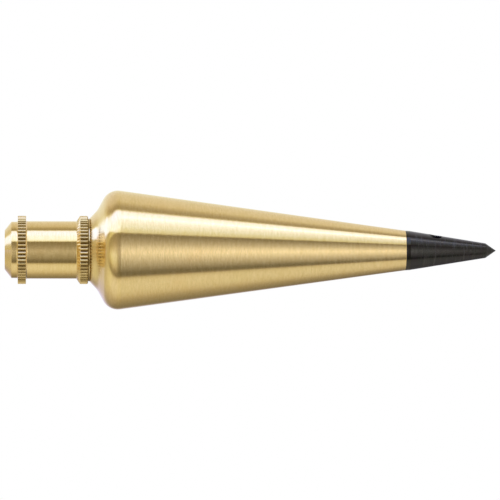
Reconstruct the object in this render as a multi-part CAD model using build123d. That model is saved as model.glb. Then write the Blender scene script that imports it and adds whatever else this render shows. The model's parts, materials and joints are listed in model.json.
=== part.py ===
"""Surveyor's plumb bob, 16 oz: a turned brass body, a screw-in knurled line cap and a steel tip.

The bob hangs point down with its axis on Z and its very point at the origin. All sizes are in
millimetres. Three pieces are written, one STEP each: line_cap, bob_body and steel_tip. The cap
screws into the body's top and the tip into its bottom, with 20-per-inch threads cut on their shanks.
"""

import math
import os

from build123d import *

# Heights above the point, in order
TOTAL_LENGTH = 150.0
TIP_JOINT_Z = 27.8  # where steel meets brass
CAP_JOINT_Z = 124.7  # where the cap's lower ring seats on the body

# Steel tip
POINT_R = 2.25  # radius where the taper turns into the point
POINT_INCLUDED_ANGLE = 70.0
TIP_JOINT_R = 6.08  # shared by the tip's face and the body's lower end
TIP_LAND_LENGTH = 1.3  # short, nearly straight land next to the joint
TIP_LAND_END_R = 5.99
TOMMY_HOLE_R = 1.6  # cross hole along X that takes a bar to unscrew the tip
TOMMY_HOLE_Z = 18.35
TOMMY_MOUTH_X = 4.15  # how far out the 90 degree countersink at each mouth starts

# Brass body
BODY_TOP_R = 9.53
TOP_LAND_HEIGHT = 0.4
COLLAR_CORNER = (12.1, 121.85)  # (radius, height) where the gentle and the steep shoulder slopes meet
SHOULDER_CORNER = (18.57, 118.35)  # (radius, height) where the steep slope would meet the long taper
COLLAR_BLEND_R = 5.5
SHOULDER_BLEND_R = 5.0

# Line cap
CAP_END_FACE_R = 6.02
CAP_END_R = 8.58
CAP_END_CHAMFER_HEIGHT = 2.03
BARREL_R = 8.75
RING_R = 10.36
UPPER_RING_Z = (143.55, 146.05)
LOWER_RING_TOP_Z = 127.1
LOWER_RING_CONE_HEIGHT = 1.09
RING_CORNER_R = 0.45  # tool-nose radius where the upper ring meets the barrel
UPPER_RING_EDGE = 0.12
LOWER_RING_EDGE = 0.25
LINE_HOLE_R = 1.5
LINE_HOLE_MOUTH = 0.5
KNOT_CHAMBER_R = 4.1
KNOT_CHAMBER_TOP_Z = 141.0

# Straight knurl on both rings: 54 teeth at a 1.2 mm pitch
KNURL_TEETH = 54
KNURL_DEPTH = 0.45
KNURL_CREST_SHARE = 0.22  # of one pitch
KNURL_ROOT_SHARE = 0.06

# Threads: 1/2-20 on the cap's shank, 1/4-20 on the tip's
THREAD_PITCH = 1.27
THREAD_DEPTH = 0.6134 * THREAD_PITCH
THREAD_CREST = THREAD_PITCH / 8
THREAD_HALF_ANGLE = 30.0
THREAD_SINK = 0.25  # how far the ridge reaches into its core, so that the two join
CAP_THREAD_R = 6.35
CAP_SHANK_END_Z = CAP_JOINT_Z - 12.0
TIP_THREAD_R = 3.175
TIP_SHANK_END_Z = TIP_JOINT_Z + 9.0
RELIEF_LENGTH = 1.3  # smooth neck between a thread and its shoulder
SOCKET_CLEARANCE = 0.05
CAP_TAP_DRILL_R = 5.75
TIP_TAP_DRILL_R = 2.6
SOCKET_MOUTH = 0.5
TAP_RUNOUT = 0.5  # how far the threaded wall goes on past the shank's end
CAP_DRILL_RUNOUT = 8.0  # how far the tap drill goes on past the shank's end
TIP_DRILL_RUNOUT = 3.0
DRILL_HALF_ANGLE = 59.0

TRIM = 1.0  # how far cutting shapes stand clear of the surface that they cut


def cone_height(radius, half_angle):
    """Height of a cone of that base radius and half angle."""
    return radius / math.tan(math.radians(half_angle))


def turned(outline):
    """A solid of revolution about Z from a closed outline of (radius, height) points."""
    with BuildSketch(Plane.XZ) as section:
        with BuildLine():
            Polyline(*outline, close=True)
        make_face()
    return revolve(section.sketch, Axis.Z)


def drilled_socket(mouth_z, shank_end_z, shank_r, drill_r, drill_runout):
    """The space of a tapped blind hole that a shank fills from mouth_z to shank_end_z."""
    way_in = 1 if shank_end_z > mouth_z else -1
    thread_r = shank_r + SOCKET_CLEARANCE
    thread_z = shank_end_z + way_in * TAP_RUNOUT
    drill_z = shank_end_z + way_in * drill_runout
    outline = [
        (0, mouth_z - way_in * TRIM),
        (thread_r + SOCKET_MOUTH + TRIM, mouth_z - way_in * TRIM),
        (thread_r, mouth_z + way_in * SOCKET_MOUTH),
        (thread_r, thread_z),
        (drill_r, thread_z),
        (drill_r, drill_z),
        (0, drill_z + way_in * cone_height(drill_r, DRILL_HALF_ANGLE)),
    ]
    return turned(outline)


def threaded_shank(major_r, seat_z, end_z):
    """A shank with a real helical ridge, from its seat to its free end, up or down along Z."""
    low = min(seat_z, end_z) - THREAD_PITCH
    high = max(seat_z, end_z) + THREAD_PITCH
    minor_r = major_r - THREAD_DEPTH
    helix = Helix(pitch=THREAD_PITCH, height=high - low, radius=minor_r, center=(0, 0, low))
    half_crest = THREAD_CREST / 2
    half_base = half_crest + (THREAD_DEPTH + THREAD_SINK) * math.tan(math.radians(THREAD_HALF_ANGLE))
    with BuildSketch(Plane(origin=helix @ 0, x_dir=(1, 0, 0), z_dir=helix % 0)) as tooth:
        with BuildLine():
            Polyline(
                (-THREAD_SINK, -half_base),
                (THREAD_DEPTH, -half_crest),
                (THREAD_DEPTH, half_crest),
                (-THREAD_SINK, half_base),
                close=True,
            )
        make_face()
    ridge = sweep(tooth.sketch, path=helix, is_frenet=True)
    core_low = low - THREAD_PITCH
    core_high = high + THREAD_PITCH
    core = turned([(0, core_low), (minor_r, core_low), (minor_r, core_high), (0, core_high)])

    # The envelope starts the thread with a chamfer at the free end and stops it at the relief neck.
    inward = 1 if end_z < seat_z else -1
    neck_z = seat_z - inward * RELIEF_LENGTH
    outside_r = major_r + THREAD_SINK
    root_r = minor_r - THREAD_SINK / 2
    rise = outside_r - root_r
    envelope = turned(
        [
            (0, end_z),
            (root_r, end_z),
            (outside_r, end_z + inward * rise),
            (outside_r, neck_z - inward * rise),
            (root_r, neck_z),
            (root_r, seat_z),
            (0, seat_z),
        ]
    )
    return (core + ridge) & envelope


def knurl_prism(low_z, high_z):
    """A prism with V-shaped grooves all round, as a straight knurling wheel leaves them."""
    pitch_angle = 2 * math.pi / KNURL_TEETH
    half_crest = pitch_angle * KNURL_CREST_SHARE / 2
    half_root = pitch_angle * KNURL_ROOT_SHARE / 2
    root_r = RING_R - KNURL_DEPTH
    outline = []
    for tooth in range(KNURL_TEETH):
        crest_angle = tooth * pitch_angle
        root_angle = crest_angle + pitch_angle / 2
        for radius, angle in (
            (RING_R, crest_angle - half_crest),
            (RING_R, crest_angle + half_crest),
            (root_r, root_angle - half_root),
            (root_r, root_angle + half_root),
        ):
            outline.append((radius * math.cos(angle), radius * math.sin(angle)))
    with BuildSketch(Plane.XY.offset(low_z)) as section:
        with BuildLine():
            Polyline(*outline, close=True)
        make_face()
    return extrude(section.sketch, high_z - low_z)


def upper_ring():
    """The knurled grip ring near the cap's end, with lightly broken edges."""
    low, high = UPPER_RING_Z
    blank_r = RING_R + TRIM
    inner_r = RING_R - UPPER_RING_EDGE
    blank = turned(
        [
            (0, low),
            (inner_r, low),
            (blank_r, low + blank_r - inner_r),
            (blank_r, high - blank_r + inner_r),
            (inner_r, high),
            (0, high),
        ]
    )
    return knurl_prism(low, high) & blank


def lower_ring():
    """The knurled ring that seats on the body, with the smooth cone that leads up to the barrel."""
    low, high = CAP_JOINT_Z, LOWER_RING_TOP_Z
    blank_r = RING_R + TRIM
    inner_r = RING_R - LOWER_RING_EDGE
    cone_slope = LOWER_RING_CONE_HEIGHT / (RING_R - BARREL_R)
    cone_top_z = high + LOWER_RING_CONE_HEIGHT
    blank = turned(
        [
            (0, low),
            (inner_r, low),
            (blank_r, low + blank_r - inner_r),
            (blank_r, high - TRIM * cone_slope),
            (BARREL_R, cone_top_z),
            (0, cone_top_z),
        ]
    )
    return knurl_prism(low, cone_top_z) & blank


def cap_barrel():
    """The cap's smooth outside between and beyond its rings, with the tool-nose corners."""
    ring_low, ring_high = UPPER_RING_Z
    middle_z = (ring_low + ring_high) / 2
    corner = RING_CORNER_R
    with BuildSketch(Plane.XZ) as section:
        with BuildLine():
            Polyline(
                (0, CAP_JOINT_Z),
                (BARREL_R, CAP_JOINT_Z),
                (BARREL_R, ring_low - corner),
            )
            CenterArc((BARREL_R + corner, ring_low - corner), corner, 180, -90)
            Polyline(
                (BARREL_R + corner, ring_low),
                (BARREL_R + corner, middle_z),
                (CAP_END_R + corner, middle_z),
                (CAP_END_R + corner, ring_high),
            )
            CenterArc((CAP_END_R + corner, ring_high + corner), corner, 270, -90)
            Polyline(
                (CAP_END_R, ring_high + corner),
                (CAP_END_R, TOTAL_LENGTH - CAP_END_CHAMFER_HEIGHT),
                (CAP_END_FACE_R, TOTAL_LENGTH),
                (0, TOTAL_LENGTH),
                (0, CAP_JOINT_Z),
            )
        make_face()
    return revolve(section.sketch, Axis.Z)


def line_passage():
    """The space inside the cap: a small hole for the line, opening below into room for its knot."""
    shoulder_height = cone_height(KNOT_CHAMBER_R - LINE_HOLE_R, DRILL_HALF_ANGLE)
    outline = [
        (0, CAP_SHANK_END_Z - TRIM),
        (KNOT_CHAMBER_R + SOCKET_MOUTH + TRIM, CAP_SHANK_END_Z - TRIM),
        (KNOT_CHAMBER_R, CAP_SHANK_END_Z + SOCKET_MOUTH),
        (KNOT_CHAMBER_R, KNOT_CHAMBER_TOP_Z),
        (LINE_HOLE_R, KNOT_CHAMBER_TOP_Z + shoulder_height),
        (LINE_HOLE_R, TOTAL_LENGTH - LINE_HOLE_MOUTH),
        (LINE_HOLE_R + LINE_HOLE_MOUTH + TRIM, TOTAL_LENGTH + TRIM),
        (0, TOTAL_LENGTH + TRIM),
    ]
    return turned(outline)


def line_cap():
    """The knurled cap that the line comes out of, turned from one bar with its shank."""
    shank = threaded_shank(CAP_THREAD_R, CAP_JOINT_Z, CAP_SHANK_END_Z)
    outside = cap_barrel() + upper_ring() + lower_ring()
    return outside + shank - line_passage()


def bob_body():
    """The weight: a long taper, a rounded shoulder and two tapped sockets."""
    with BuildSketch(Plane.XZ) as section:
        with BuildLine():
            Polyline((TIP_JOINT_R, TIP_JOINT_Z), (0, TIP_JOINT_Z), (0, CAP_JOINT_Z))
            Polyline(
                (0, CAP_JOINT_Z),
                (BODY_TOP_R, CAP_JOINT_Z),
                (BODY_TOP_R, CAP_JOINT_Z - TOP_LAND_HEIGHT),
            )
            FilletPolyline(
                (BODY_TOP_R, CAP_JOINT_Z - TOP_LAND_HEIGHT),
                COLLAR_CORNER,
                SHOULDER_CORNER,
                (TIP_JOINT_R, TIP_JOINT_Z),
                radius=(COLLAR_BLEND_R, SHOULDER_BLEND_R),
            )
        make_face()
    blank = revolve(section.sketch, Axis.Z)
    cap_socket = drilled_socket(
        CAP_JOINT_Z, CAP_SHANK_END_Z, CAP_THREAD_R, CAP_TAP_DRILL_R, CAP_DRILL_RUNOUT
    )
    tip_socket = drilled_socket(
        TIP_JOINT_Z, TIP_SHANK_END_Z, TIP_THREAD_R, TIP_TAP_DRILL_R, TIP_DRILL_RUNOUT
    )
    return blank - cap_socket - tip_socket


def tommy_hole():
    """The hole across the tip, countersunk at both mouths."""
    hole = Cylinder(TOMMY_HOLE_R, 2 * (TIP_JOINT_R + TRIM), rotation=(0, 90, 0))
    depth = TIP_JOINT_R - TOMMY_MOUTH_X
    for side in (-1, 1):
        mouth = Cone(TOMMY_HOLE_R, TOMMY_HOLE_R + depth, depth, rotation=(0, side * 90, 0))
        hole += Pos(side * (TOMMY_MOUTH_X + depth / 2), 0, 0) * mouth
    return Pos(0, 0, TOMMY_HOLE_Z) * hole


def steel_tip():
    """The replaceable point, with its tommy hole and its threaded shank."""
    point_height = cone_height(POINT_R, POINT_INCLUDED_ANGLE / 2)
    outside = turned(
        [
            (0, 0),
            (POINT_R, point_height),
            (TIP_LAND_END_R, TIP_JOINT_Z - TIP_LAND_LENGTH),
            (TIP_JOINT_R, TIP_JOINT_Z),
            (0, TIP_JOINT_Z),
        ]
    )
    shank = threaded_shank(TIP_THREAD_R, TIP_JOINT_Z, TIP_SHANK_END_Z)
    return outside + shank - tommy_hole()


os.makedirs("parts", exist_ok=True)
for make_piece in (line_cap, bob_body, steel_tip):
    export_step(make_piece(), f"parts/{make_piece.__name__}.step")
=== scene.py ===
"""The look of the plumb bob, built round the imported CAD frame.

The bob hangs on Z with its point at the origin. Outlines are (radius, height) in millimetres, as on
a lathe drawing, and their heights start from the CAD pieces' own boxes. Three turned meshes stand
for the three CAD nodes, with real threads on both sides of each joint, knurls and broken edges.
"""

import json
import math

import bpy
from mathutils import Matrix, Vector


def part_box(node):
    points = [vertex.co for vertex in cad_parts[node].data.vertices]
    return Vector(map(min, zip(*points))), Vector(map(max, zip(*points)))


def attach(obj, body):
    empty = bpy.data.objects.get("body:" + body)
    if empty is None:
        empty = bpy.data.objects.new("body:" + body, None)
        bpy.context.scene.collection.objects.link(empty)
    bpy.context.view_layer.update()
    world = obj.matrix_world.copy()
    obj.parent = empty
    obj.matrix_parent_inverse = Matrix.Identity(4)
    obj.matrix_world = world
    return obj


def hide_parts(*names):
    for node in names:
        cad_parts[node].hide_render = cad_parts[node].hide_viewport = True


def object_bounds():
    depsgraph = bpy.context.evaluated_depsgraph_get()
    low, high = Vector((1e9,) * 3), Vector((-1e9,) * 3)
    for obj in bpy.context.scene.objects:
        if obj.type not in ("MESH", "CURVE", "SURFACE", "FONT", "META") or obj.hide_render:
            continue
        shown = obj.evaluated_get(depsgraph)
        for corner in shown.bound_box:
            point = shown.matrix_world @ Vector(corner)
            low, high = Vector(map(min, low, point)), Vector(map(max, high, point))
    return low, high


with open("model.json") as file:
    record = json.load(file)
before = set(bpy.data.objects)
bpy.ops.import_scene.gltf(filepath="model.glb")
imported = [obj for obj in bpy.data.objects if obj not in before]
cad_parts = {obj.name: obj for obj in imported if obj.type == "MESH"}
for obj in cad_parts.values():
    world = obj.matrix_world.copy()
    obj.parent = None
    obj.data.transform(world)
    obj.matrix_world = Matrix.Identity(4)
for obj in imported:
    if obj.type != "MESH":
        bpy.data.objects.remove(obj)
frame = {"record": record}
cad_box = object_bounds()

MM = 0.001

# Heights that the CAD pieces give, in millimetres
TOP_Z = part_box("line_cap")[1].z / MM
CAP_SEAT_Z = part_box("bob_body")[1].z / MM
CAP_SHANK_END_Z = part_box("line_cap")[0].z / MM
TIP_SEAT_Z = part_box("bob_body")[0].z / MM
TIP_SHANK_END_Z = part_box("steel_tip")[1].z / MM

# Edges and rounding, in millimetres and degrees
BROKEN_EDGE = 0.06
HOLD = 0.05  # how far a holding loop stands from a rounded corner
ARC_STEP = 11.0
SHARP_ANGLE = 32
DRILL_HALF_POINT = math.radians(59)

# Threads: 20 to the inch
PITCH = 1.27
THREAD_DEPTH = 0.6134 * PITCH
HALF_CREST = PITCH / 16
FLANK_SLOPE = math.tan(math.radians(30))
THREAD_PLAY = 0.05  # between a thread's crest or flank and its socket
THREAD_STEPS = 12  # mesh loops to one pitch
CAP_THREAD_R = 6.35
TIP_THREAD_R = 3.175
CAP_TAP_DRILL_R = 5.75
TIP_TAP_DRILL_R = 2.6
SOCKET_CHAMFER = 1.15
SOCKET_WALL = 1.2  # a socket's wall and chamfer lie within this of its tap drill's radius

# The cap's two rings, and the body's rim under the lower one
RING_R = 10.36
LOWER_RING_TOP = CAP_SEAT_Z + 2.4
UPPER_RING_LOW = CAP_SEAT_Z + 18.85
UPPER_RING_TOP = CAP_SEAT_Z + 21.35
NECK_R = 9.53

TIP_SEAT_R = 6.08

# The rings' knurl
KNURL_TEETH = 54
KNURL_DEPTH = 0.45
KNURL_FADE_R = 9.4  # grooves run out between these two radii
KNURL_FULL_R = RING_R - 0.1
KNURL_CREST = 0.1  # half widths of a tooth's flat crest and groove's floor, as shares of a pitch
KNURL_FLOOR = 0.03
TOOTH_SAMPLES = (-0.12, -0.08, 0.08, 0.12, 0.30, 0.47, 0.53, 0.70)

BODY_SEGMENTS = 256
TIP_SEGMENTS = 192
DRILL_SEGMENTS = 64

TOMMY_HOLE = next(mount for mount in frame["record"]["mounts"] if mount["name"] == "tommy_hole")
TOMMY_HOLE_R = 1.6
TOMMY_HOLE_Z = TOMMY_HOLE["pos_m"][2] / MM
TOMMY_MOUTH_X = 4.15  # where each mouth's countersink starts


# ---------------------------------------------------------------- turned meshes


def outline(corners, closed=False):
    """Points along a turned outline, whose corners are (radius, height, rounding).

    The metal is on the left of the way the outline runs, so its faces look outwards.
    """
    points = []
    count = len(corners)
    for index, (r, z, rounding) in enumerate(corners):
        here = Vector((r, z))
        is_end = not closed and index in (0, count - 1)
        if is_end or rounding == 0:
            points.append(here)
            continue
        back = (Vector(corners[index - 1][:2]) - here).normalized()
        ahead = (Vector(corners[(index + 1) % count][:2]) - here).normalized()
        turn = math.pi - back.angle(ahead)
        reach = rounding * math.tan(turn / 2)
        centre = here + (back + ahead).normalized() * rounding / math.cos(turn / 2)
        steps = max(2, math.ceil(math.degrees(turn) / ARC_STEP))
        side = 1 if back.cross(ahead) < 0 else -1
        spoke = here + back * reach - centre
        points.append(here + back * (reach + HOLD))
        for step in range(steps + 1):
            points.append(centre + Matrix.Rotation(side * turn * step / steps, 2) @ spoke)
        points.append(here + ahead * (reach + HOLD))
    return points


def divided(points, longest, chosen=None):
    """The same outline with its chosen runs, or all of them, cut into pieces no longer than longest."""
    result = [points[0]]
    for start, end in zip(points, points[1:]):
        is_cut = chosen is None or chosen(start, end)
        pieces = math.ceil((end - start).length / longest) if is_cut else 1
        for piece in range(1, pieces + 1):
            result.append(start.lerp(end, piece / pieces))
    return result


def runs_between(low, high):
    """Chooses the runs that lie wholly between two heights."""
    return lambda start, end: min(start.y, end.y) >= low and max(start.y, end.y) <= high


def wall_runs(within_r, low, high):
    """Chooses a hole's wall: nearer the axis than within_r, and reaching between two heights."""

    def chosen(start, end):
        is_near = max(start.x, end.x) < within_r
        return is_near and min(start.y, end.y) < high and max(start.y, end.y) > low

    return chosen


def even_angles(count):
    return [2 * math.pi * step / count for step in range(count)]


def knurl_angles():
    pitch = 2 * math.pi / KNURL_TEETH
    return [(tooth + share) * pitch for tooth in range(KNURL_TEETH) for share in TOOTH_SAMPLES]


def as_turned(r, z, angle):
    return r


def turned_mesh(name, points, angles, shape=as_turned, closed=False):
    """A mesh of the outline turned round Z. shape(r, z, angle) gives the radius a point ends up at."""
    vertices = []
    rings = []
    for point in points:
        if point.x < 1e-6:
            rings.append([len(vertices)] * len(angles))
            vertices.append((0, 0, point.y * MM))
            continue
        first = len(vertices)
        rings.append(list(range(first, first + len(angles))))
        for angle in angles:
            r = shape(point.x, point.y, angle) * MM
            vertices.append((r * math.cos(angle), r * math.sin(angle), point.y * MM))
    faces = []
    ring_pairs = list(zip(rings, rings[1:]))
    if closed:
        ring_pairs.append((rings[-1], rings[0]))
    for low, high in ring_pairs:
        for here in range(len(angles)):
            there = (here + 1) % len(angles)
            corners = (low[here], low[there], high[there], high[here])
            faces.append(tuple(dict.fromkeys(corners)))
    mesh = bpy.data.meshes.new(name)
    mesh.from_pydata(vertices, [], faces)
    mesh.update()
    piece = bpy.data.objects.new(name, mesh)
    bpy.context.scene.collection.objects.link(piece)
    return piece


def smooth(piece):
    """Smooth shading with crisp edges where the surface really turns."""
    piece.data.shade_smooth()
    piece.data.set_sharp_from_angle(angle=math.radians(SHARP_ANGLE))


# ---------------------------------------------------------------- threads and knurl


def from_ridge(z, angle, ridge_z):
    """How far a point is, along Z, from the middle of the nearest turn of a right-hand ridge."""
    turns = (z - ridge_z) / PITCH - angle / (2 * math.pi)
    return abs(turns - round(turns)) * PITCH


def ridge_radius(distance, major_r, half_crest):
    """Radius of a 60 degree thread ridge at that distance from its middle."""
    depth = max(0.0, distance - half_crest) / FLANK_SLOPE
    return major_r - depth


def male_thread(r, z, angle, major_r, ridge_z):
    """Cuts the thread's grooves into a shank that is turned to its envelope."""
    ridge = ridge_radius(from_ridge(z, angle, ridge_z), major_r, HALF_CREST)
    return min(r, max(ridge, major_r - THREAD_DEPTH))


def female_thread(r, z, angle, major_r, ridge_z):
    """Cuts the matching grooves into a drilled hole, with play all round the shank's ridge."""
    distance = from_ridge(z, angle, ridge_z)
    return max(r, ridge_radius(distance, major_r + THREAD_PLAY, HALF_CREST + THREAD_PLAY))


def knurl_groove(angle):
    """0 on a tooth's crest, 1 on the groove's floor."""
    share = angle * KNURL_TEETH / (2 * math.pi)
    from_crest = abs(share - round(share))
    return min(1.0, max(0.0, (from_crest - KNURL_CREST) / (0.5 - KNURL_FLOOR - KNURL_CREST)))


def knurled(r, angle):
    """Cuts the knurl's grooves into a ring that is turned to its envelope."""
    fade = min(1.0, max(0.0, (r - KNURL_FADE_R) / (KNURL_FULL_R - KNURL_FADE_R)))
    return r - KNURL_DEPTH * fade * knurl_groove(angle)


# ---------------------------------------------------------------- the three pieces


def shank_corners(major_r, seat_z, end_z):
    """A threaded shank's outside, from its free end to its seat: start chamfer, thread, relief neck."""
    way = 1 if seat_z > end_z else -1
    edge = 0.03
    neck_rounding = 0.1
    neck_length = 1.3
    start_below_minor = 0.12
    minor_r = major_r - THREAD_DEPTH
    start_r = minor_r - start_below_minor
    neck_z = seat_z - way * neck_length
    return [
        (start_r, end_z, edge),
        (major_r, end_z + way * (major_r - start_r), edge),
        (major_r, neck_z - way * THREAD_DEPTH, edge),
        (minor_r, neck_z, neck_rounding),
        (minor_r, seat_z, neck_rounding),
    ]


def socket_corners(seat_z, shank_end_z, drill_r, drill_runout):
    """A tapped blind hole's wall, from its mouth to its end on the axis: chamfer, tap drill, cone."""
    way = 1 if shank_end_z > seat_z else -1
    drill_end_z = shank_end_z + way * drill_runout
    return [
        (drill_r + SOCKET_CHAMFER, seat_z, BROKEN_EDGE),
        (drill_r, seat_z + way * SOCKET_CHAMFER, BROKEN_EDGE),
        (drill_r, drill_end_z, BROKEN_EDGE),
        (0, drill_end_z + way * drill_r / math.tan(DRILL_HALF_POINT), 0),
    ]


def make_line_cap():
    """The cap: chamfered end, two knurled rings, barrel, threaded shank, line hole and knot chamber."""
    lower_chamfer = 0.25
    lower_slope = 1.09
    barrel_r = 8.75
    tool_nose = 0.45
    end_r = 8.58
    end_face_r = 6.02
    end_chamfer = 2.03
    ring_edge = 0.12
    chamber_r = 4.1
    chamber_top = 141.0
    hole_r = 1.5
    mouth = 0.5
    hole_low = chamber_top + (chamber_r - hole_r) / math.tan(DRILL_HALF_POINT)
    outside = [
        (RING_R - lower_chamfer, CAP_SEAT_Z, 0.04),
        (RING_R, CAP_SEAT_Z + lower_chamfer, 0.04),
        (RING_R, LOWER_RING_TOP, 0.1),
        (barrel_r, LOWER_RING_TOP + lower_slope, 0.25),
        (barrel_r, UPPER_RING_LOW, tool_nose),
        (RING_R - ring_edge, UPPER_RING_LOW, 0.03),
        (RING_R, UPPER_RING_LOW + ring_edge, 0.03),
        (RING_R, UPPER_RING_TOP - ring_edge, 0.03),
        (RING_R - ring_edge, UPPER_RING_TOP, 0.03),
        (end_r, UPPER_RING_TOP, tool_nose),
        (end_r, TOP_Z - end_chamfer, 0.12),
        (end_face_r, TOP_Z, 0.12),
    ]
    inside = [
        (hole_r + mouth, TOP_Z, 0.1),
        (hole_r, TOP_Z - mouth, 0.1),
        (hole_r, hole_low, 0.05),
        (chamber_r, chamber_top, 0.1),
        (chamber_r, CAP_SHANK_END_Z + mouth, 0.05),
        (chamber_r + mouth, CAP_SHANK_END_Z, 0.03),
    ]
    shank = shank_corners(CAP_THREAD_R, CAP_SEAT_Z, CAP_SHANK_END_Z)
    points = outline(shank + outside + inside, closed=True)
    points = divided(points, PITCH / THREAD_STEPS, runs_between(CAP_SHANK_END_Z, CAP_SEAT_Z - 0.5))
    points = divided(points, longest=2.5)

    def shape(r, z, angle):
        if r > KNURL_FADE_R:
            return knurled(r, angle)
        if z < CAP_SEAT_Z and r > chamber_r + mouth + 0.1:
            return male_thread(r, z, angle, CAP_THREAD_R, CAP_SHANK_END_Z)
        return r

    return turned_mesh("cap_turning", points, knurl_angles(), shape, closed=True)


def make_bob_body():
    """The weight: long taper, rounded shoulder, gentle collar, and a tapped socket at each end."""
    collar = (12.1, CAP_SEAT_Z - 2.85, 5.5)
    shoulder = (18.57, CAP_SEAT_Z - 6.35, 5.0)
    tip_socket = socket_corners(TIP_SEAT_Z, TIP_SHANK_END_Z, TIP_TAP_DRILL_R, drill_runout=3.0)
    cap_socket = socket_corners(CAP_SEAT_Z, CAP_SHANK_END_Z, CAP_TAP_DRILL_R, drill_runout=8.0)
    rim_height = 0.4
    outside = [
        (TIP_SEAT_R, TIP_SEAT_Z, 0.04),
        shoulder,
        collar,
        (NECK_R, CAP_SEAT_Z - rim_height, 0.08),
        (NECK_R, CAP_SEAT_Z, 0.08),
    ]
    points = outline(list(reversed(tip_socket)) + outside + cap_socket)
    tip_wall_r = TIP_TAP_DRILL_R + SOCKET_WALL
    cap_wall_r = CAP_TAP_DRILL_R + SOCKET_WALL
    past_shank = 0.5  # how far the tapped threads run past the shanks
    fine_past_shank = 0.8
    loop = PITCH / THREAD_STEPS
    points = divided(points, longest=5.0)
    points = divided(points, loop, wall_runs(tip_wall_r, TIP_SEAT_Z, TIP_SHANK_END_Z + fine_past_shank))
    points = divided(points, loop, wall_runs(cap_wall_r, CAP_SHANK_END_Z - fine_past_shank, CAP_SEAT_Z))

    def shape(r, z, angle):
        if TIP_SEAT_Z < z < TIP_SHANK_END_Z + past_shank and r < tip_wall_r:
            return female_thread(r, z, angle, TIP_THREAD_R, TIP_SEAT_Z)
        if CAP_SHANK_END_Z - past_shank < z < CAP_SEAT_Z and r < cap_wall_r:
            return female_thread(r, z, angle, CAP_THREAD_R, CAP_SHANK_END_Z)
        return r

    return turned_mesh("body_turning", points, even_angles(BODY_SEGMENTS), shape)


def make_steel_tip():
    """The tip: 70 degree point, taper, narrow land at its seat, threaded shank and cross hole."""
    point_r = 2.25
    half_point = math.radians(35)
    point_z = point_r / math.tan(half_point)
    land = 1.3
    shank = shank_corners(TIP_THREAD_R, TIP_SEAT_Z, TIP_SHANK_END_Z)
    corners = [
        (0, 0, 0),
        (point_r, point_z, 0.12),
        (5.99, TIP_SEAT_Z - land, 1.5),
        (TIP_SEAT_R, TIP_SEAT_Z, 0.04),
        *reversed(shank),
        (0, TIP_SHANK_END_Z, 0),
    ]
    points = outline(corners)
    points = divided(points, PITCH / THREAD_STEPS, runs_between(TIP_SEAT_Z + 0.5, TIP_SHANK_END_Z))
    points = divided(points, longest=1.5)

    def shape(r, z, angle):
        if z > TIP_SEAT_Z and r > 1:
            return male_thread(r, z, angle, TIP_THREAD_R, TIP_SEAT_Z)
        return r

    piece = turned_mesh("tip_turning", points, even_angles(TIP_SEGMENTS), shape)
    drill_across(piece)
    return piece


def drill_across(piece):
    """Cuts the tommy hole through the tip along X, with a countersink at each mouth."""
    reach = 8.0
    wide_r = TOMMY_HOLE_R + reach - TOMMY_MOUTH_X
    corners = [
        (0, -reach, 0),
        (wide_r, -reach, 0),
        (TOMMY_HOLE_R, -TOMMY_MOUTH_X, 0.08),
        (TOMMY_HOLE_R, TOMMY_MOUTH_X, 0.08),
        (wide_r, reach, 0),
        (0, reach, 0),
    ]
    drill = turned_mesh("drill", outline(corners), even_angles(DRILL_SEGMENTS))
    to_height = Matrix.Translation((0, 0, TOMMY_HOLE_Z * MM))
    drill.data.transform(to_height @ Matrix.Rotation(math.pi / 2, 4, "Y"))
    cut = piece.modifiers.new("tommy_hole", "BOOLEAN")
    cut.operation = "DIFFERENCE"
    cut.solver = "EXACT"
    cut.object = drill
    depsgraph = bpy.context.evaluated_depsgraph_get()
    drilled = bpy.data.meshes.new_from_object(piece.evaluated_get(depsgraph))
    piece.modifiers.clear()
    piece.data = drilled
    bpy.data.objects.remove(drill)


# ---------------------------------------------------------------- materials

NOISE_REACH = (0.3, 0.7)  # most of a noise's values lie in this

BRASS_DEEP = (0.862, 0.640, 0.276, 1)
BRASS_LIGHT = (0.937, 0.714, 0.341, 1)
BRASS_WARM = (0.93, 0.60, 0.24, 1)
BRASS_GREEN = (0.80, 0.66, 0.26, 1)
# Paler brass that paints a paler reflection on the body's collar
PAINTED_COLLAR_SHEEN = (0.98, 0.80, 0.43, 1)
# Brown painted shade for the knurls' grooves and the crevice at the cap's seat
PAINTED_SHADE_BROWN = (0.36, 0.25, 0.085, 1)
BRASS_ROUGHNESS = 0.14
PAINTED_SHADE_ROUGHNESS = 0.25  # what the painted shade adds to it
STEEL_PURPLE = (0.0055, 0.0012, 0.0050, 1)
STEEL_GREEN = (0.0012, 0.0030, 0.0030, 1)
STEEL_MARKS = (0.034, 0.030, 0.033, 1)
STEEL_SHINE = (1.0, 0.94, 0.75, 1)
STEEL_ROUGHNESS = 0.09
FLOOR_CREAM = (0.88, 0.86, 0.74, 1)

# Where the brass carries painted shade or a painted paler reflection, in millimetres
RING_FACE_UNSHADED = 0.06  # the rings' flat faces stay clear of the painted shade, to this depth
GROOVE_SHADE_R = (RING_R - 0.26, RING_R - 0.06)  # the painted shade fades out up a groove's side
# The crevice's painted shadow lies between these heights
CREVICE_Z = (CAP_SEAT_Z - 0.25, CAP_SEAT_Z + 0.1)
RIM_R = NECK_R - 0.2  # the neck and the collar are outside this, the threads are inside it
# The collar's painted paler reflection fades out between these heights
COLLAR_FADE_Z = (CAP_SEAT_Z - 6.2, CAP_SEAT_Z - 4.2)


def add(tree, kind, inputs=None, **settings):
    """A new node with its settings, and its inputs set to values or linked from sockets."""
    made = tree.nodes.new(kind)
    for key, value in settings.items():
        setattr(made, key, value)
    for key, value in (inputs or {}).items():
        if isinstance(value, bpy.types.NodeSocket):
            tree.links.new(value, made.inputs[key])
        else:
            made.inputs[key].default_value = value
    return made


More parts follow.
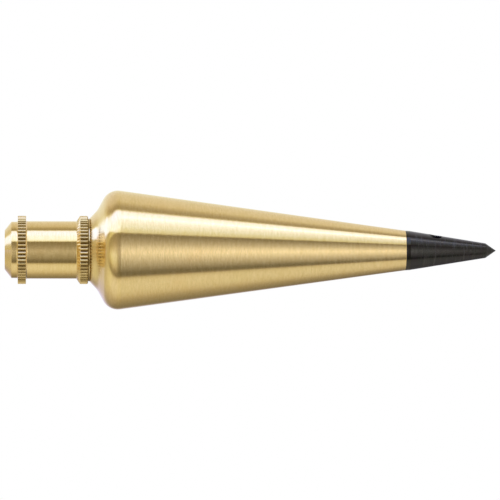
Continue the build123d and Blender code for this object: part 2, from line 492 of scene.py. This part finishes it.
def math_node(tree, operation, first, second=0.0, third=0.0):
    return add(tree, "ShaderNodeMath", {0: first, 1: second, 2: third}, operation=operation).outputs[0]


def product(tree, first, second):
    return math_node(tree, "MULTIPLY", first, second)


def remainder(tree, share):
    """What is left of 1."""
    return math_node(tree, "SUBTRACT", 1.0, share)


def mixed(tree, share, first, second):
    node = add(tree, "ShaderNodeMix", {"Factor": share}, data_type="RGBA")
    for socket, value in ((node.inputs[6], first), (node.inputs[7], second)):
        if isinstance(value, bpy.types.NodeSocket):
            tree.links.new(value, socket)
        else:
            socket.default_value = value
    return node.outputs[2]


def dotted(tree, first, second):
    node = add(tree, "ShaderNodeVectorMath", {0: first, 1: second}, operation="DOT_PRODUCT")
    return node.outputs["Value"]


def spread(tree, value, low, high):
    """A value from low..high brought to 0..1, with eased ends, and clamped."""
    return add(
        tree,
        "ShaderNodeMapRange",
        {"Value": value, "From Min": low, "From Max": high},
        interpolation_type="SMOOTHSTEP",
    ).outputs[0]


def turned_place(tree):
    """A point's x, y, height and distance from the bob's axis, in millimetres."""
    place = add(tree, "ShaderNodeTexCoord").outputs["Object"]
    x, y, z = add(tree, "ShaderNodeSeparateXYZ", {0: place}).outputs
    flat = add(tree, "ShaderNodeCombineXYZ", {0: x, 1: y}).outputs[0]
    radius = add(tree, "ShaderNodeVectorMath", {0: flat}, operation="LENGTH").outputs["Value"]
    return [product(tree, value, 1 / MM) for value in (x, y, z, radius)]


def lathe_noise(tree, along, around, detail):
    """Noise in fine rings round Z: along cycles to a millimetre down the profile, around across it."""
    x, y, height, radius = turned_place(tree)
    across = {0: product(tree, x, around), 1: product(tree, y, around), 2: product(tree, height, along)}
    return add(
        tree,
        "ShaderNodeTexNoise",
        {
            "Vector": add(tree, "ShaderNodeCombineXYZ", across).outputs[0],
            "W": product(tree, radius, along),
            "Scale": 1.0,
            "Detail": detail,
            "Roughness": 0.6,
        },
        noise_dimensions="4D",
    ).outputs[0]


def cloud_noise(tree, cycles, detail, seed):
    """Soft, even noise, cycles to a millimetre."""
    place = add(tree, "ShaderNodeTexCoord").outputs["Object"]
    return add(
        tree,
        "ShaderNodeTexNoise",
        {"Vector": place, "W": seed, "Scale": cycles / MM, "Detail": detail, "Roughness": 0.55},
        noise_dimensions="4D",
    ).outputs[0]


def new_material(name):
    material = bpy.data.materials.new(name)
    material.use_nodes = True
    return material, material.node_tree, material.node_tree.nodes["Principled BSDF"]


def finish_turned(tree, shader, colour, rough, bumps, bump_height, anisotropic):
    """Joins a turned finish to its shader, with highlights stretched across the tool marks."""
    tangent = add(tree, "ShaderNodeTangent", direction_type="RADIAL", axis="Z")
    bump = add(tree, "ShaderNodeBump", {"Strength": 1.0, "Distance": bump_height * MM, "Height": bumps})
    tree.links.new(tangent.outputs[0], shader.inputs["Tangent"])
    tree.links.new(bump.outputs[0], shader.inputs["Normal"])
    tree.links.new(colour, shader.inputs["Base Color"])
    tree.links.new(rough, shader.inputs["Roughness"])
    shader.inputs["Anisotropic"].default_value = anisotropic
    shader.inputs["Anisotropic Rotation"].default_value = 0.25


def between(tree, value, low, high):
    """1 between two values, 0 outside them."""
    above = math_node(tree, "GREATER_THAN", value, low)
    return product(tree, above, math_node(tree, "LESS_THAN", value, high))


def outside_radius(tree, radius, limit):
    return math_node(tree, "GREATER_THAN", radius, limit)


def painted_recess_shade(tree):
    """How much painted shade darkens and dulls the brass: the knurls' grooves, and the crevice at the cap's
    seat.
    """
    _, _, height, radius = turned_place(tree)
    lower = between(tree, height, CAP_SEAT_Z + RING_FACE_UNSHADED, LOWER_RING_TOP - RING_FACE_UNSHADED)
    upper = between(tree, height, UPPER_RING_LOW + RING_FACE_UNSHADED, UPPER_RING_TOP - RING_FACE_UNSHADED)
    grooves = remainder(tree, spread(tree, radius, *GROOVE_SHADE_R))
    grooves = product(tree, grooves, math_node(tree, "ADD", lower, upper))
    grooves = product(tree, grooves, outside_radius(tree, radius, KNURL_FADE_R))
    crevice = between(tree, height, *CREVICE_Z)
    crevice = product(tree, crevice, outside_radius(tree, radius, RIM_R))
    return math_node(tree, "MAXIMUM", grooves, crevice)


def collar_sheen_share(tree):
    """1 on the body's collar, where paler brass paints a paler reflection, fading out over the shoulder's
    upper end.
    """
    _, _, height, radius = turned_place(tree)
    share = product(tree, spread(tree, height, *COLLAR_FADE_Z), between(tree, height, 0.0, CAP_SEAT_Z))
    return product(tree, share, outside_radius(tree, radius, RIM_R))


def brass_colour(tree, fine, painted_shade):
    """Yellow brass with faint warm and green clouds, painted paler on the collar for a paler reflection
    there, and with brown painted shade in the knurls' grooves and the seat's crevice.
    """
    warm = spread(tree, cloud_noise(tree, cycles=0.07, detail=3, seed=3.0), 0.52, 0.75)
    green = spread(tree, cloud_noise(tree, cycles=0.11, detail=3, seed=11.0), 0.55, 0.8)
    colour = mixed(tree, spread(tree, fine, *NOISE_REACH), BRASS_DEEP, BRASS_LIGHT)
    colour = mixed(tree, product(tree, warm, 0.28), colour, BRASS_WARM)
    colour = mixed(tree, product(tree, green, 0.22), colour, BRASS_GREEN)
    # Painted paler reflection on the collar
    colour = mixed(tree, product(tree, collar_sheen_share(tree), 0.5), colour, PAINTED_COLLAR_SHEEN)
    # Brown painted shade in the knurls' grooves and the crevice at the cap's seat
    return mixed(tree, painted_shade, colour, PAINTED_SHADE_BROWN)


def turned_brass():
    """Fine-turned brass under clear lacquer, with grainy rings of tool marks."""
    material, tree, shader = new_material("turned_brass")
    fine = lathe_noise(tree, along=2.6, around=0.5, detail=3)
    broad = lathe_noise(tree, along=0.5, around=0.04, detail=3)
    chatter = lathe_noise(tree, along=2.2, around=1.1, detail=2)
    # Painted shade: how much the grooves and the seat's crevice are darkened
    painted_shade = painted_recess_shade(tree)
    colour = brass_colour(tree, fine, painted_shade)
    wear = product(tree, spread(tree, broad, *NOISE_REACH), 0.03)
    marks = product(tree, spread(tree, fine, *NOISE_REACH), 0.03)
    rough = math_node(tree, "ADD", math_node(tree, "ADD", wear, marks), BRASS_ROUGHNESS)
    # The painted shade is also made rougher
    rough = math_node(tree, "MULTIPLY_ADD", painted_shade, PAINTED_SHADE_ROUGHNESS, rough)
    finish_turned(tree, shader, colour, rough, chatter, bump_height=0.009, anisotropic=0.95)
    shader.inputs["Metallic"].default_value = 1.0
    return material


def blackened_steel():
    """Hardened steel, blackened over open turning marks, with a faint purple and green cast."""
    material, tree, shader = new_material("blackened_steel")
    fine = lathe_noise(tree, along=1.3, around=0.12, detail=3)
    tint = cloud_noise(tree, cycles=0.5, detail=2, seed=5.0)
    colour = mixed(tree, spread(tree, tint, 0.35, 0.65), STEEL_PURPLE, STEEL_GREEN)
    colour = mixed(tree, spread(tree, fine, 0.5, 0.7), colour, STEEL_MARKS)
    marks = spread(tree, fine, *NOISE_REACH)
    rough = math_node(tree, "MULTIPLY_ADD", marks, 0.12, STEEL_ROUGHNESS)
    finish_turned(tree, shader, colour, rough, fine, bump_height=0.03, anisotropic=0.85)
    shader.inputs["Metallic"].default_value = 0.0
    shader.inputs["IOR"].default_value = 1.56
    shader.inputs["Specular Tint"].default_value = STEEL_SHINE
    return material


def floor_paint():
    """Cream, which the cool light from above turns to pale grey."""
    material, _, shader = new_material("floor_paint")
    shader.inputs["Base Color"].default_value = FLOOR_CREAM
    shader.inputs["Roughness"].default_value = 0.7
    return material


# ---------------------------------------------------------------- studio

CAMERA_AZIMUTH = math.radians(15)
CAMERA_DISTANCE = 1.466
CAMERA_Z = 0.1448  # the camera stands level with the cap's upper ring
PICTURE_WIDTH = 0.15256  # what the picture takes in at the bob's distance
AIM_ABOVE_MIDDLE = 0.00027  # the picture's centre on the bob's axis, above half its length
AIM_UP = 0.00008  # and how far it is off the axis, towards the picture's top
CAMERA_ROLL = math.radians(0.09)

TO_CAMERA = Vector((math.sin(CAMERA_AZIMUTH), -math.cos(CAMERA_AZIMUTH), 0))
PICTURE_UP = Vector((math.cos(CAMERA_AZIMUTH), math.sin(CAMERA_AZIMUTH), 0))

# Every table of light below is (degrees, brightness or share). Its degrees are a bearing round the
# bob, from the camera towards the picture's top, or where its name says RISE, above the level.
FULL_TURN = 360
HALF_TURN = 180

# Light all round the bob
ROUND_LIGHT = (
    (-180, 0.92),  # backdrop behind the bob
    (-166, 0.56),
    (-156, 0.29),
    (-148, 0.24),
    (-136, 0.30),
    (-120, 0.42),
    (-112, 0.52),  # white card below, brightest in its middle
    (-104, 0.65),
    (-96, 0.73),
    (-86, 0.80),
    (-74, 0.82),
    (-64, 0.79),
    (-58, 0.66),
    (-53, 0.20),  # dark room round the camera
    (-47, 0.15),
    (-20, 0.15),
    (8, 0.19),
    (26, 0.23),
    (80, 0.26),
    (87, 0.41),  # dark gap above the soft light
    (92, 0.39),
    (96, 0.45),
    (103, 0.58),
    (110, 0.70),  # backdrop above and behind
    (126, 0.76),
    (150, 0.83),
    (180, 0.90),
)
# The soft light above the camera, brightest in its upper half
SOFT_LIGHT = (
    (32.7, 0.0),
    (35, 0.31),
    (46, 0.49),
    (54, 0.70),
    (60, 0.90),
    (64, 0.97),
    (80, 0.97),
    (83.5, 0.74),
    (87, 0.0),
)
# Its lower half is brighter for what faces level or up
SOFT_LOWER_LIGHT = ((33.5, 0.0), (35.5, 0.53), (48, 0.50), (58, 0.16), (64, 0.0))
SOFT_LOWER_RISE = ((-27, 0.0), (-20, 0.33), (-16, 0.70), (-8, 1.0))
# Its outer end, which reaches past the picture's top, up beyond the cap
SOFT_BEND_LIGHT = ((81, 0.0), (86, 0.75), (96, 0.80), (103, 0.0))
SOFT_BEND_RISE = ((36, 0.0), (44, 1.0), (62, 1.0), (66, 0.0))
# A little more light from behind, below the level
LOWER_BACK_LIGHT = ((100, 0.0), (115, 0.13), (150, 0.10), (180, 0.04))
LOWER_BACK_RISE = ((-14, 1.0), (-8, 0.0))
# A low light beside the camera
FRONT_LIGHT = (
    (-54, 0.0),
    (-46, 0.06),
    (-40, 0.16),
    (-32, 0.30),
    (-24, 0.43),
    (-14, 0.61),
    (-6, 0.75),
    (0, 0.69),
    (6, 0.54),
    (12, 0.37),
    (24, 0.14),
    (34, 0.0),
)
FRONT_RISE = (
    (-90, 0.6),
    (-50, 1.2),
    (-25, 2.60),
    (-21, 1.85),
    (-19, 1.22),
    (-17, 0.66),
    (-14, 0.25),
    (-7, 0.24),
    (-3, 0.44),
    (1, 0.42),
    (6, 0.2),
    (12, 0.0),
)
FRONT_COLOUR = (1.0, 1.01, 1.13)
# White walls up beyond the cap: beside the camera, and behind and below
UPPER_FRONT = (
    (-58, 0.0),
    (-50, 0.14),
    (-40, 0.40),
    (-30, 0.68),
    (-20, 0.80),
    (-10, 0.82),
    (0, 0.64),
    (10, 0.38),
    (20, 0.22),
    (34, 0.10),
    (44, 0.0),
)
UPPER_FRONT_RISE = ((3, 0.0), (8, 0.50), (15, 0.85), (40, 0.95), (62, 0.70), (76, 0.2))
UPPER_BACK = (
    (-180, 0.10),
    (-160, 0.30),
    (-140, 0.38),
    (-125, 0.30),
    (-110, 0.17),
    (-95, 0.06),
    (-80, 0.0),
)
UPPER_BACK_RISE = ((6, 0.0), (14, 0.25), (26, 0.45), (46, 1.0), (62, 0.9), (76, 0.5))
# One even brightness straight beyond the cap
POLE_RISE = ((60, 0.0), (78, 1.0))
POLE_LIGHT = 0.60
# The soft light goes on as a strip that bends over the cap's end. What lies along this direction is
# on its lit side: parts towards the camera, the picture's top and the cap's end.
STRIP_INNER = Vector((-0.457, 0.830, -0.265))
STRIP_SOFTNESS = 0.03
STRIP_RISE = ((47, 0.0), (54, 1.0))
STRIP_LIGHT = 1.25
# The strip's dimmer far end, behind
STRIP_END_LIGHT = ((150, 0.0), (160, 0.45), (180, 0.45))
STRIP_END_RISE = ((39, 0.0), (46, 1.0), (56, 1.0), (60, 0.0))
# How much darker the wall is beside the strip
BORDER = ((88, 0.0), (98, 0.40), (118, 0.30), (135, 0.12), (160, 0.08), (172, 0.0))
BORDER_RISE = ((33, 0.0), (39, 1.0), (47, 1.0), (51, 0.0))
BRIGHTEST = 1.20  # brightness is held to this before it is tinted
# Green as a share of red, and blue as a share of green: warm where it is dim, cool where bright
GREEN_WHEN_DIM = 0.89
GREEN_BY_CUBE = 0.19
BLUE_WHEN_DIM = 0.64
BLUE_BY_LEVEL = 0.22
BLUE_BY_SEVENTH = 0.27  # times the brightness to the seventh power, so for lamps only
# And how much bluer or yellower than that it is
BLUE_SHARE = (
    (-180, 1.50),
    (-166, 1.50),
    (-156, 1.15),
    (-148, 1.00),
    (-44, 1.00),
    (-34, 0.92),
    (-14, 0.92),
    (0, 1.00),
    (30, 1.00),
    (38, 0.80),
    (54, 0.82),
    (66, 1.00),
    (102, 1.00),
    (120, 1.10),
    (150, 1.03),
    (165, 0.90),
)
BLUE_RISE = ((0, 1.0), (12, 1.12), (36, 1.10), (46, 0.94))
# A cone shows the camera directions whose height is -TIP_VIEW_DROP - steepness * cos(bearing / 2),
# where the steepness is the cone's own. From TIP_STEEPNESS on, only the tip is steep enough.
TIP_VIEW_DROP = 0.085
TIP_STEEPNESS = (0.25, 0.285)
LEAST_COSINE = 0.05  # keeps the steepness finite right behind the bob
TIP_BLUE = 1.13  # the light on the tip is grey, but for this
# How much of the room's brightness the tip shows, and a lamp that shows as its bright line
TIP_SHARE = (
    (-180, 0.82),
    (-128, 0.70),
    (-93, 0.78),
    (-67, 0.78),
    (-45, 0.65),
    (-24, 0.80),
    (-5, 1.00),
    (15, 0.70),
    (35, 0.55),
    (54, 0.70),
    (66, 1.00),
    (78, 1.25),
    (88, 1.10),
    (110, 0.92),
    (180, 0.88),
)
NARROW_LAMP = ((66, 0.0), (69.5, 2.0), (72.5, 2.0), (76, 0.0))
RAMP_TOP = 3.0  # ramps hold brightness as a share of this

FLOOR_R = 260
FLOOR_Z = -100
FLOOR_SEGMENTS = 96


def make_camera():
    """The photograph's camera: level with the cap, aimed at the bob's middle, rolled so the cap is left."""
    middle = (cad_box[0].z + cad_box[1].z) / 2
    place = TO_CAMERA * CAMERA_DISTANCE + Vector((0, 0, CAMERA_Z))
    target = Vector((0, 0, middle + AIM_ABOVE_MIDDLE)) + PICTURE_UP * AIM_UP
    back = (place - target).normalized()
    down = Matrix.Rotation(CAMERA_ROLL, 3, back) @ Vector((0, 0, -1))
    right = (down - down.dot(back) * back).normalized()
    up = back.cross(right)
    lens = bpy.data.cameras.new("camera")
    lens.sensor_width = 36.0
    lens.lens = lens.sensor_width * (place - target).length / PICTURE_WIDTH
    lens.clip_start = 0.1
    camera = bpy.data.objects.new("camera", lens)
    camera.matrix_world = Matrix(
        (
            (right.x, up.x, back.x, place.x),
            (right.y, up.y, back.y, place.y),
            (right.z, up.z, back.z, place.z),
            (0, 0, 0, 1),
        )
    )
    bpy.context.scene.collection.objects.link(camera)
    bpy.context.scene.camera = camera


def ramp(tree, degrees, turn, stops):
    """Brightness read from (degrees, brightness) stops, on a ramp that covers turn degrees."""
    position = math_node(tree, "ADD", math_node(tree, "DIVIDE", degrees, turn), 0.5)
    node = add(tree, "ShaderNodeValToRGB", {"Fac": position})
    elements = node.color_ramp.elements
    elements.remove(elements[1])
    for index, (place, level) in enumerate(stops):
        element = elements[0] if index == 0 else elements.new(place / turn + 0.5)
        element.position = place / turn + 0.5
        element.color = [level / RAMP_TOP] * 3 + [1]
    return math_node(tree, "MULTIPLY", node.outputs[0], RAMP_TOP)


def patch(tree, bearing, rise, round_stops, rise_stops):
    """Brightness that is the product of one ramp by bearing and one by rise."""
    by_bearing = ramp(tree, bearing, FULL_TURN, round_stops)
    return product(tree, by_bearing, ramp(tree, rise, HALF_TURN, rise_stops))


def strip_side(tree, way):
    """1 on the lit side of the soft light's bent inner edge, and 0 on the other."""
    camera_part, top_part, cap_part = STRIP_INNER
    lit_way = TO_CAMERA * camera_part + PICTURE_UP * top_part + Vector((0, 0, cap_part))
    return spread(tree, dotted(tree, way, lit_way), -STRIP_SOFTNESS, STRIP_SOFTNESS)


def room_brightness(tree, way, bearing, rise):
    """The brightness of the backdrop, the cards, the walls and the soft light above the camera."""
    beside_strip = patch(tree, bearing, rise, BORDER, BORDER_RISE)
    total = product(tree, ramp(tree, bearing, FULL_TURN, ROUND_LIGHT), remainder(tree, beside_strip))
    for round_stops, rise_stops in (
        (UPPER_FRONT, UPPER_FRONT_RISE),
        (UPPER_BACK, UPPER_BACK_RISE),
        (SOFT_LOWER_LIGHT, SOFT_LOWER_RISE),
        (SOFT_BEND_LIGHT, SOFT_BEND_RISE),
        (LOWER_BACK_LIGHT, LOWER_BACK_RISE),
        (STRIP_END_LIGHT, STRIP_END_RISE),
    ):
        total = math_node(tree, "ADD", total, patch(tree, bearing, rise, round_stops, rise_stops))
    pole = ramp(tree, rise, HALF_TURN, POLE_RISE)
    total = product(tree, total, remainder(tree, pole))
    total = math_node(tree, "ADD", total, product(tree, pole, POLE_LIGHT))
    lit_side = strip_side(tree, way)
    soft = product(tree, ramp(tree, bearing, FULL_TURN, SOFT_LIGHT), lit_side)
    total = math_node(tree, "ADD", total, soft)
    strip = product(tree, lit_side, ramp(tree, rise, HALF_TURN, STRIP_RISE))
    total = math_node(tree, "MAXIMUM", total, product(tree, strip, STRIP_LIGHT))
    return math_node(tree, "MINIMUM", total, BRIGHTEST)


def room_colour(tree, level, blue_share):
    """The room is warm where it is dim, and its lamps are cool."""
    cube = math_node(tree, "POWER", level, 3.0)
    seventh = math_node(tree, "POWER", level, 7.0)
    green = product(tree, level, math_node(tree, "MULTIPLY_ADD", cube, GREEN_BY_CUBE, third=GREEN_WHEN_DIM))
    cool = math_node(tree, "MULTIPLY_ADD", level, BLUE_BY_LEVEL, third=BLUE_WHEN_DIM)
    blue = math_node(tree, "MULTIPLY_ADD", seventh, BLUE_BY_SEVENTH, third=cool)
    blue = product(tree, product(tree, green, blue), blue_share)
    return add(tree, "ShaderNodeCombineXYZ", {0: level, 1: green, 2: blue}).outputs[0]


def tip_colour(tree, level, bearing):
    """What only the tip shows: nearly neutral light, and one narrow lamp."""
    grey = product(tree, level, ramp(tree, bearing, FULL_TURN, TIP_SHARE))
    grey = math_node(tree, "ADD", grey, ramp(tree, bearing, FULL_TURN, NARROW_LAMP))
    blue = product(tree, grey, TIP_BLUE)
    return add(tree, "ShaderNodeCombineXYZ", {0: grey, 1: grey, 2: blue}).outputs[0]


def tip_only(tree, bearing, height):
    """1 in the directions that only the tip shows the camera."""
    half_cosine = math_node(tree, "COSINE", math_node(tree, "RADIANS", product(tree, bearing, 0.5)))
    drop = math_node(tree, "SUBTRACT", -TIP_VIEW_DROP, height)
    steepness = math_node(tree, "DIVIDE", drop, math_node(tree, "MAXIMUM", half_cosine, LEAST_COSINE))
    return spread(tree, steepness, *TIP_STEEPNESS)


def make_world():
    """White behind the bob for the camera, and soft studio light round it for everything else."""
    world = bpy.data.worlds.new("studio")
    world.use_nodes = True
    bpy.context.scene.world = world
    tree = world.node_tree
    tree.nodes.clear()
    way = add(tree, "ShaderNodeTexCoord").outputs["Generated"]
    height = add(tree, "ShaderNodeSeparateXYZ", {0: way}).outputs[2]
    turn = math_node(tree, "ARCTAN2", dotted(tree, way, PICTURE_UP), dotted(tree, way, TO_CAMERA))
    bearing = math_node(tree, "DEGREES", turn)
    rise = math_node(tree, "DEGREES", math_node(tree, "ARCSINE", height))

    level = room_brightness(tree, way, bearing, rise)
    colour = room_colour(tree, level, patch(tree, bearing, rise, BLUE_SHARE, BLUE_RISE))
    colour = mixed(tree, tip_only(tree, bearing, height), colour, tip_colour(tree, level, bearing))
    front = {0: FRONT_COLOUR, "Scale": patch(tree, bearing, rise, FRONT_LIGHT, FRONT_RISE)}
    front = add(tree, "ShaderNodeVectorMath", front, operation="SCALE").outputs[0]
    colour = add(tree, "ShaderNodeVectorMath", {0: colour, 1: front}, operation="ADD").outputs[0]

    lit = add(tree, "ShaderNodeBackground", {"Color": colour, "Strength": 1.0}).outputs[0]
    white = add(tree, "ShaderNodeBackground", {"Color": (1, 1, 1, 1), "Strength": 1.0}).outputs[0]
    seen = add(tree, "ShaderNodeLightPath").outputs["Is Camera Ray"]
    chosen = add(tree, "ShaderNodeMixShader", {0: seen, 1: lit, 2: white}).outputs[0]
    add(tree, "ShaderNodeOutputWorld", {"Surface": chosen})


def make_floor():
    """A pale round table top, low enough to stay out of the picture and out of the long taper's shine."""
    points = [Vector((FLOOR_R, FLOOR_Z)), Vector((0, FLOOR_Z))]
    floor = turned_mesh("floor", points, even_angles(FLOOR_SEGMENTS))
    floor.data.materials.append(floor_paint())


# ---------------------------------------------------------------- assembly

make_camera()
make_world()
make_floor()

brass = turned_brass()
steel = blackened_steel()
for make_piece, node, body, material, finish in (
    (make_line_cap, "line_cap", "cap", brass, "brass"),
    (make_bob_body, "bob_body", "bob", brass, "brass"),
    (make_steel_tip, "steel_tip", "tip", steel, "blackened_steel"),
):
    piece = make_piece()
    smooth(piece)
    piece.data.materials.append(material)
    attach(piece, body)
    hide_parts(node)

bpy.context.scene.view_settings.view_transform = "Standard"
